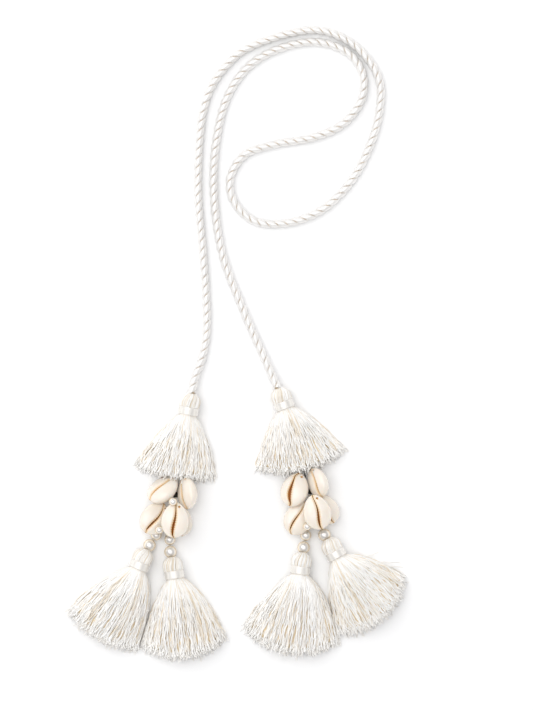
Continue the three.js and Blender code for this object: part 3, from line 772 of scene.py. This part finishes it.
def pearl_mesh(name, size, way):
    """A ball with a bore that runs the given way."""
    radius = size / 2
    bore = PEARL_BORE / 2
    start = asin(bore / radius)
    angles = np.linspace(start, pi - start, PEARL_ROWS)
    turns = np.linspace(0, 2 * pi, PEARL_COLUMNS, endpoint=False)
    radii = np.concatenate([radius * np.sin(angles), [bore]])
    heights = np.concatenate([-radius * np.cos(angles), [0.1 * radius]])
    rows = np.stack([
        radii[:, None] * np.cos(turns), heights[:, None] + 0 * turns, radii[:, None] * np.sin(turns),
    ], 2)
    faces = []
    count = len(rows)
    for r in range(count):
        upper = r * PEARL_COLUMNS
        lower = (r + 1) % count * PEARL_COLUMNS
        for i in range(PEARL_COLUMNS):
            j = (i + 1) % PEARL_COLUMNS
            faces.append((upper + i, upper + j, lower + j, lower + i))
    mesh = faces_mesh(name, rows.reshape(-1, 3), faces, PEARL)
    turn = Vector((0, 1, 0)).rotation_difference(Vector((*way, 0)).normalized()).to_matrix().to_4x4()
    mesh.transform(turn)
    mesh.update()
    return mesh


# Diameter, and the direction of the bore in degrees
PEARLS = {
    "pearl_1_1": (5.4, -33), "pearl_1_2": (6.2, -36), "pearl_2_1": (5.4, 3), "pearl_2_2": (6.2, 7),
    "pearl_3_1": (5.4, -10), "pearl_3_2": (6.2, -12), "pearl_4_1": (6.2, 37),
    "small_pearl_left_1": (4, 180), "small_pearl_left_2": (4, 180), "small_pearl_right_1": (4, 180),
}


def make_pearl(name):
    size, angle = PEARLS[name]
    mesh = pearl_mesh(name, size, down(angle))
    mesh.transform(Matrix.Translation(box_centre(name) * MM))
    return put(f"{name}_bead", [mesh], name)


for pearl_name in PEARLS:
    make_pearl(pearl_name)


# Threads through the pearls, from the knot to the tassel's head

STRING_RADIUS = 0.24
STRING_OFFSET = 0.17
STRING_PITCH = 2.4
STRING_STEP = 0.35
STRANDS = {1: ("left", 2), 2: ("left", 2), 3: ("right", 2), 4: ("right", 1)}  # side, and count of pearls


def head_top(name):
    """Where the top of a head is, seen from above: its binding is centred a fixed way below it."""
    centre = box_centre(name.replace("tassel", "binding"))[:2]
    return centre - down(TASSELS[name]["head"]) * (HEAD_HEIGHT + GAP + BAND_HEIGHT / 2)


def make_strand(number):
    side, count = STRANDS[number]
    tassel = f"lower_tassel_{number}"
    pearls = [f"pearl_{number}_{i + 1}" for i in range(count)]
    centres = [box_centre(pearl) for pearl in pearls]
    knot = KNOT_PLACES[side]
    first = centres[0][:2]
    away = (first - knot) / np.linalg.norm(first - knot)
    start = knot + away * (KNOT_DIAMETER / 2 + GAP)
    height = THREAD_DIAMETER / 2 + THREAD_LIFT
    points = [(*(start + (first - start) * share), height) for share in (0, 0.35, 0.6)]
    for pearl, centre in zip(pearls, centres):
        size, angle = PEARLS[pearl]
        way = down(angle)
        for share in (-0.48, -0.16, 0.16, 0.48):
            points.append((*(centre[:2] + way * share * size), centre[2]))
    last = centres[-1]
    out = head_top(tassel) - last[:2]
    tip = last[:2] + out / np.linalg.norm(out) * (PEARLS[pearls[-1]][0] / 2 + THREAD_IN_HEAD)
    points.append((*tip, last[2]))
    line = evenly(smooth_route(points, 8), 0.5)[0]
    name = f"strand_thread_{number}"
    mesh = plied(
        name, line, 0.7, 2, STRING_RADIUS, STRING_OFFSET, STRING_PITCH, STRING_STEP, 6, STRING_YARN
    )
    put(f"{name}_plied", [mesh], name)


def knot_place(side):
    """The middle of a knot seen from above: the round end of its node, which stands highest."""
    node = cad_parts[f"knot_{side}"]
    points = np.array([v.co for v in node.data.vertices]) / MM
    highest = points[points[:, 2] > points[:, 2].max() - 0.05]
    return highest[:, :2].mean(0)


KNOT_PLACES = {side: knot_place(side) for side in ("left", "right")}
for strand in STRANDS:
    make_strand(strand)


# The dark knots: wraps of waxed thread in three directions, and the thread that each hangs by

WRAPS = 7
WRAP_RADIUS = 0.24


def make_knot(side):
    node = f"knot_{side}"
    low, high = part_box(node)
    knot = KNOT_PLACES[side]
    # Its thread goes to the upper corner of the node's box that lies farther from the knot
    corners = [np.array([x, high[1]]) / MM for x in (low[0], high[0])]
    away = max(corners, key=lambda corner: abs(corner[0] - knot[0])) - knot
    middle = np.array([*knot, KNOT_DIAMETER / 2])
    turn = np.linspace(0, 2 * pi, 17)[:, None]
    radius = KNOT_DIAMETER / 2 - WRAP_RADIUS
    lines = []
    for axis in range(3):
        first, second, third = np.roll(np.eye(3), axis, 1)
        for wrap in range(WRAPS):
            lift = radius * 0.8 * (2 * wrap / (WRAPS - 1) - 1)
            reach = sqrt(radius ** 2 - lift ** 2)
            lines.append(middle + first * lift + reach * (np.cos(turn) * second + np.sin(turn) * third))
    steps = np.linspace(0, 1, 12)[:, None]
    lines.append(middle + np.array([*away, 0]) * steps)
    threads = [(line, np.zeros(len(line)), 0.5) for line in lines]
    mesh = swept(node, threads, WRAP_RADIUS, 0.0, 0, DARK_YARN, 6)
    put(f"{node}_wraps", [mesh], node)


for knot_side in ("left", "right"):
    make_knot(knot_side)


# Tassels

YARN_RADIUS = 0.28
SKIRT_WAVE = 1.5  # how far the threads wave at their ends
TIP_CURL = 0.65  # how far the cut tips stray
HEAD_THREAD_RADIUS = 0.29
HEAD_THREADS = 62
HEAD_TWIST = 0.35  # in radians, from the top to the binding
# Shares of the head's height and radius
HEAD_PROFILE = [(0.05, 0.3), (-0.02, 0.42), (0.1, 0.66), (0.28, 0.88), (0.55, 1), (0.85, 0.985)]
CORD_ROOM = 0.41  # share of the radius that the upper heads leave open for the cord
# Each layer on top of the skirt: how many threads, and how far below the top in millimetres
TOP_LAYERS = [(70, 0.0), (74, 0.5), (74, 1.1), (68, 1.8), (60, 2.6)]
TOP_TONE = 0.95
TONE_LOSS = 0.22  # painted shade: the tone lost for each millimetre below the top
BEIGE_SHARE = 0.13  # of the threads on top
BEIGE_TONES = (0.2, 0.6)
HEM_LAYERS = [0.12, 0.26, 0.4, 0.54, 0.66, 0.78]  # shares of the thickness
HEM_THREADS = 42
BOTTOM_THREADS = 46
LOCKS = 14
LOCK_PULL = 0.12
LOCK_DEPTH = 0.5
CORE_SINK = 0.45
CORE_STOP = 0.93
CORE_WIDTH = 0.93
CORE_PROFILE = [(0.12, 0.3), (0.2, 0.62), (0.4, 0.82), (0.85, 0.82)]  # as HEAD_PROFILE
THREAD_POINTS = 17
SHORT_POINTS = 8
PRESS_RISE = 0.35  # how far a thread that is pushed aside climbs
PRESS_LIMIT = 2.5
DRAPE_REACH = 6  # how far up a thread may be lifted onto a shell


def between(pair, share):
    return pair[0] + (pair[1] - pair[0]) * share


def skirt_plan(spec, across, along, extra):
    """A point of the skirt seen from above, in the tassel's own frame."""
    left, middle, right = spec["lengths"]
    share = middle + (right - left) / 2 * across + ((right + left) / 2 - middle) * across ** 2
    length = SKIRTS[spec["skirt"]][0] * share
    side = (across + 1) / 2
    leave = between(spec["leave"], side) - spec["head"]
    hem = between(spec["hem"], side) - spec["head"]
    start = np.array([NECK_DIAMETER / 2 * sin(across * pi / 2), -THROAT])
    middle = start + down(leave) * length * CONTROL
    end = np.array([0, -THROAT]) + down(hem) * (length + extra)
    along = np.asarray(along)[:, None]
    return start * (1 - along) ** 2 + middle * 2 * along * (1 - along) + end * along ** 2


def skirt_heights(spec, across, along, groove):
    """The lowest and highest place of the threads there."""
    thickness = SKIRTS[spec["skirt"]][1]
    settled = smoothstep(along, 0, SETTLED)
    bulge = cos(across * pi / 2)
    hump = thickness * (EDGE_THICKNESS + (1 - EDGE_THICKNESS) * max(bulge, 0) ** HUMP_POWER)
    middle = HEAD_DIAMETER / 2
    neck = NECK_DIAMETER / 2 * bulge
    high = (middle + neck) * (1 - settled) + hump * settled - groove * settled
    low = (middle - neck) * (1 - settled)
    return low, high


def in_page(name, points):
    """Turns and moves points of a tassel's own frame to where it lies."""
    angle = radians(TASSELS[name]["head"])
    turn = np.array([[cos(angle), sin(angle)], [-sin(angle), cos(angle)]])
    return np.column_stack([points[:, :2] @ turn + head_top(name), points[:, 2]])


def throat_of(name):
    return head_top(name) + down(TASSELS[name]["head"]) * THROAT


def press(name, points, rng):
    """Keeps a skirt's threads on its own side of the lines where it presses on its neighbours."""
    for left, right, place, direction in SKIRT_CONTACTS:
        if name not in (left, right):
            continue
        way = 1 if left == name else -1
        angle = radians(direction)
        across = np.array([cos(angle), sin(angle)])
        place = throat_of(left) + np.array(place) * SKIRTS["lower"][0]
        beyond = way * ((points[:, :2] - place) @ across)
        over = np.maximum(beyond + GAP, 0)
        points[:, :2] -= way * over[:, None] * across * (1 - 0.12 * rng.random())
        points[:, 2] += np.minimum(over * PRESS_RISE, PRESS_LIMIT) * rng.random()
    return points


def shell_top(trees, x, y):
    """The height of the highest shell under a point, or less than zero where there is none."""
    best = -1.0
    for tree in trees:
        hit = tree.ray_cast(Vector((x * MM, y * MM, 0.1)), Vector((0, 0, -1)))[0]
        if hit is not None:
            best = max(best, hit.z / MM)
    return best


def drape(points, trees, on_top):
    """Lays a thread over the shells under the hem, or ends it where it meets them."""
    for i, (x, y, z) in enumerate(points):
        height = shell_top(trees, x, y)
        if height < 0 or z > height + YARN_RADIUS:
            continue
        if on_top and height - z < DRAPE_REACH:
            points[i, 2] = height + YARN_RADIUS
        else:
            return points[:i] if i > 3 else None
    return points


def skirt_threads(name, rng, trees):
    spec = TASSELS[name]
    edges = np.sort(np.concatenate([[-1, 1], rng.uniform(-0.92, 0.92, LOCKS - 1)]))
    centres = (edges[1:] + edges[:-1]) / 2
    halves = (edges[1:] - edges[:-1]) / 2
    found = []

    def lay(across, sink, level, begin, tone):
        lock = int(np.clip(np.searchsorted(edges, across, side="right") - 1, 0, LOCKS - 1))
        apart = np.clip((across - centres[lock]) / max(halves[lock], 0.02), -1, 1)
        count = SHORT_POINTS if begin else THREAD_POINTS
        along = np.append(np.linspace(begin, TIP_START, count - 1), 1)
        shift = -LOCK_PULL * (across - centres[lock]) * 0.8
        reach = 0.3 * rng.normal() + rng.uniform(-0.5, 0.5)
        reach += sink * 0.6 - 2.6 if level is None else 0.6 - 2.4 * level
        plan = np.concatenate([
            skirt_plan(spec, float(np.clip(across + shift * a ** 1.5, -1, 1)), [a], reach)
            for a in along
        ])
        low, high = skirt_heights(spec, across, along, LOCK_DEPTH * apart ** 2)
        if level is None:
            lowered = high - sink * smoothstep(along, 0, 0.35) - YARN_RADIUS
            height = np.maximum(lowered, low + YARN_RADIUS)
        else:
            height = low + (high - low - 2 * YARN_RADIUS) * level + YARN_RADIUS
        points = np.concatenate([plan, height[:, None]], 1)
        if begin == 0:
            inside = points[0] + np.array([0, BAND_HEIGHT * 0.6, 0])
            points = np.concatenate([inside[None], points])
            along = np.concatenate([[0], along])
        tip = rng.normal(0, TIP_CURL, 3)
        points[-1] += tip
        points[-2] += 0.3 * tip
        points[-2:, 2] = np.maximum(points[-2:, 2], YARN_RADIUS)
        points = press(name, in_page(name, points), rng)
        if trees:
            points = drape(points, trees, level is None and sink < 1)
            if points is None:
                return
        found.append((points, along[:len(points)], tone))

    for count, sink in TOP_LAYERS:
        spots = np.linspace(-1, 1, count) + rng.uniform(-0.6, 0.6, count) * 2 / count
        for across in np.clip(spots, -1, 1):
            if rng.random() < BEIGE_SHARE:
                tone = rng.uniform(*BEIGE_TONES)
            else:
                tone = TOP_TONE - TONE_LOSS * sink + rng.normal() * 0.12
            lay(across, sink + rng.uniform(-0.12, 0.2), None, 0, np.clip(tone, 0, 1))
    for level in HEM_LAYERS:
        for across in np.linspace(-0.97, 0.97, HEM_THREADS) + rng.uniform(-0.03, 0.03, HEM_THREADS):
            height = level + rng.uniform(-0.06, 0.06)
            lay(float(np.clip(across, -1, 1)), 0, height, 0.5, rng.uniform(0.6, 1))
    for across in np.linspace(-1, 1, BOTTOM_THREADS):
        lay(across, 0, 0.0, 0, rng.uniform(0.3, 0.9))
    return found


def stray_threads(name):
    """Loose threads that leave the throat and end where the table says."""
    start = throat_of(name)
    found = []
    for i, end in enumerate(STRAY_ENDS):
        end = np.array(end)
        reach = np.linalg.norm(end - start)
        middle = start + down(88 - 7 * i) * reach * 0.45
        t = np.linspace(0, 1, THREAD_POINTS)[:, None]
        plan = start * (1 - t) ** 2 + middle * 2 * t * (1 - t) + end * t ** 2
        height = 6.5 * (1 - t) ** 1.4 + 0.4 + 1.6 * np.sin(pi * t)
        found.append((np.concatenate([plan, height], 1), 0.5 * t[:, 0], 0.9))
    return found


def core_mesh(name):
    """The mass of inner threads: what is left of the skirt and head under the threads that show."""
    spec = TASSELS[name]
    turns = np.linspace(-1, 1, 25)
    middle = HEAD_DIAMETER / 2
    levels = [(share * HEAD_HEIGHT, middle * width) for share, width in CORE_PROFILE]
    levels.append((HEAD_HEIGHT, CORE_WIDTH * NECK_DIAMETER / 2))
    result = []
    for drop, radius in levels:
        arc = [(radius * sin(a), radius * cos(a)) for a in turns * pi / 2]
        top = [(x, -drop, middle + z) for x, z in arc]
        bottom = [(x, -drop, middle - z) for x, z in arc[-2:0:-1]]
        result.append(top + bottom)
    for along in (0.02, 0.12, 0.25, 0.4, 0.55, 0.7, 0.85, CORE_STOP):
        top = []
        bottom = []
        for a in turns:
            plan = skirt_plan(spec, a * CORE_WIDTH, [along], 0)[0]
            low, high = skirt_heights(spec, a * CORE_WIDTH, along, LOCK_DEPTH)
            sink = CORE_SINK * float(smoothstep(along, 0, 0.4)) + 0.5
            high = max(float(high) - sink, float(low) + 0.7)
            low = float(low) + 0.5
            top.append((*plan, high))
            bottom.append((*plan, min(low, high - 0.1)))
        result.append(top + bottom[-2:0:-1])
    pages = [in_page(name, np.array(row)) for row in result]
    rng = np.random.default_rng(0)
    pages = [press(name, page, rng) for page in pages]
    # The inner yarn's darker, warmer colour is painted shade between the threads that show
    mesh = grid_mesh(f"{name} core", pages, INNER_YARN)
    for label, kind in (("tone", "FLOAT"), ("along", "FLOAT"), ("ring", "FLOAT_VECTOR")):
        mesh.attributes.new(label, kind, "POINT")
    return mesh


def head_threads(name, rng):
    """Threads over the dome, from the middle of its top down into the binding."""
    upper = TASSELS[name]["skirt"] == "upper"
    radius = HEAD_DIAMETER / 2
    neck = NECK_DIAMETER / 2
    found = []
    for i in range(HEAD_THREADS):
        angle = 2 * pi * (i + rng.uniform(-0.2, 0.2)) / HEAD_THREADS
        lift = rng.uniform(-0.2, 0.8)
        points = []
        for share, width in HEAD_PROFILE:
            if upper and share < 0.08:
                width = max(width, CORD_ROOM)
            points.append((share, radius * width - HEAD_THREAD_RADIUS * (0.8 + lift)))
        points += [(1.0, 0.91 * radius), (1.05, neck + 0.1), (1.25, neck - HEAD_THREAD_RADIUS)]
        line = []
        for share, reach in points:
            turn = angle + HEAD_TWIST * (1 - min(share, 1)) ** 2
            line.append((reach * sin(turn), -share * HEAD_HEIGHT, radius + reach * cos(turn)))
        smooth = smooth_route(line, 3)
        tone = float(np.clip(rng.normal(0.65, 0.4), 0, 1))
        found.append((in_page(name, smooth), np.zeros(len(smooth)), tone))
    return found


def make_tassel(name, seed):
    rng = np.random.default_rng(RANDOM_SEED + seed)
    trees = []
    if name.startswith("upper"):
        for i in (1, 2):
            mesh = shells[f"cowrie_{name.split('_')[-1]}_{i}"].data
            faces = [face.vertices for face in mesh.polygons]
            trees.append(BVHTree.FromPolygons([v.co for v in mesh.vertices], faces))
    threads = skirt_threads(name, rng, trees)
    if name == "lower_tassel_4":
        threads += stray_threads(name)
    skirt = swept(f"{name}_skirt", threads, YARN_RADIUS, SKIRT_WAVE, seed * 10, SKIRT_YARN)
    head = swept(f"{name}_head", head_threads(name, rng), HEAD_THREAD_RADIUS, 0.0, seed, HEAD_YARN)
    put(f"{name}_yarn", [skirt, head, core_mesh(name)], name)


# A binding's turns lie half over each other, so only a shallow ridge of each one shows
BINDING_TURNS = 12
WOUND_RADIUS = 0.45


def make_binding(name):
    tassel = name.replace("binding", "tassel")
    radius = NECK_DIAMETER / 2 + GAP + BAND_THICKNESS - WOUND_RADIUS
    mesh = grow(f"{name}_lines", bpy.data.meshes.new(name), WINDING, {
        "Turns": float(BINDING_TURNS), "Steps": 40, "Sides": 12, "Winding Radius": radius * MM,
        "Height": (GAP + BAND_HEIGHT - 2 * WOUND_RADIUS) * MM, "Thread Radius": WOUND_RADIUS * MM,
        "Material": BINDING_YARN,
    })
    keep_values(mesh, "tone", np.full(len(mesh.vertices), 0.8))
    head = TASSELS[tassel]["head"]
    start = head_top(tassel) + down(head) * (HEAD_HEIGHT + GAP + BAND_HEIGHT - WOUND_RADIUS)
    mesh.transform(
        Matrix.Translation(Vector((*start, HEAD_DIAMETER / 2)) * MM)
        @ Matrix.Rotation(radians(head), 4, "Z")
        @ Matrix.Rotation(radians(-90), 4, "X")
    )
    put(f"{name}_winding", [mesh], name)


for number, tassel_name in enumerate(TASSELS):
    make_tassel(tassel_name, number)
    make_binding(tassel_name.replace("tassel", "binding"))


# Floor and light

def make_floor():
    """A square of white paper, 6 m wide, which reflects evenly and without gloss."""
    size = 3.0
    mesh = bpy.data.meshes.new("floor")
    corners = [(-size, -size, 0), (size, -size, 0), (size, size, 0), (-size, size, 0)]
    mesh.from_pydata(corners, [], [(0, 1, 2, 3)])
    floor = new_object("floor", mesh)
    material, tree, skin = new_material("matt white paper")
    feed(tree, skin, {
        "Base Color": (0.96, 0.96, 0.96, 1), "Roughness": 1.0, "Specular IOR Level": 0.0,
    })
    mesh.materials.append(material)


def make_light():
    """One large soft light, up on the left."""
    data = bpy.data.lights.new("soft key from the upper left", "AREA")
    data.shape = "DISK"
    data.size = 2.3
    data.energy = 19.5
    light = new_object(data.name, data)
    target = Vector((*VIEW_CENTRE, 0)) * MM
    light.location = target + Vector((-0.85, 0.65, 1.85))
    light.rotation_euler = (target - light.location).to_track_quat("-Z", "Y").to_euler()


make_floor()
make_light()

world = bpy.data.worlds.new("pale studio")
bpy.context.scene.world = world
world.use_nodes = True
# The room has a pale ceiling, darker walls and white paper low down
sky = world.node_tree
direction = add_node(sky, "ShaderNodeTexCoord")
upward = add_node(sky, "ShaderNodeSeparateXYZ", {0: direction.outputs["Generated"]})
shade = add_node(sky, "ShaderNodeValToRGB", {0: upward.outputs[2]})
marks = shade.color_ramp.elements
marks[0].position = 0.2
marks[0].color = (1, 1, 1, 1)
marks[1].position = 0.9
for height in (0.42, 0.78):
    marks.new(height).color = (0.35, 0.35, 0.36, 1)
feed(sky, sky.nodes["Background"], {"Color": shade, "Strength": 1.39})
bpy.context.scene.view_settings.view_transform = "Standard"
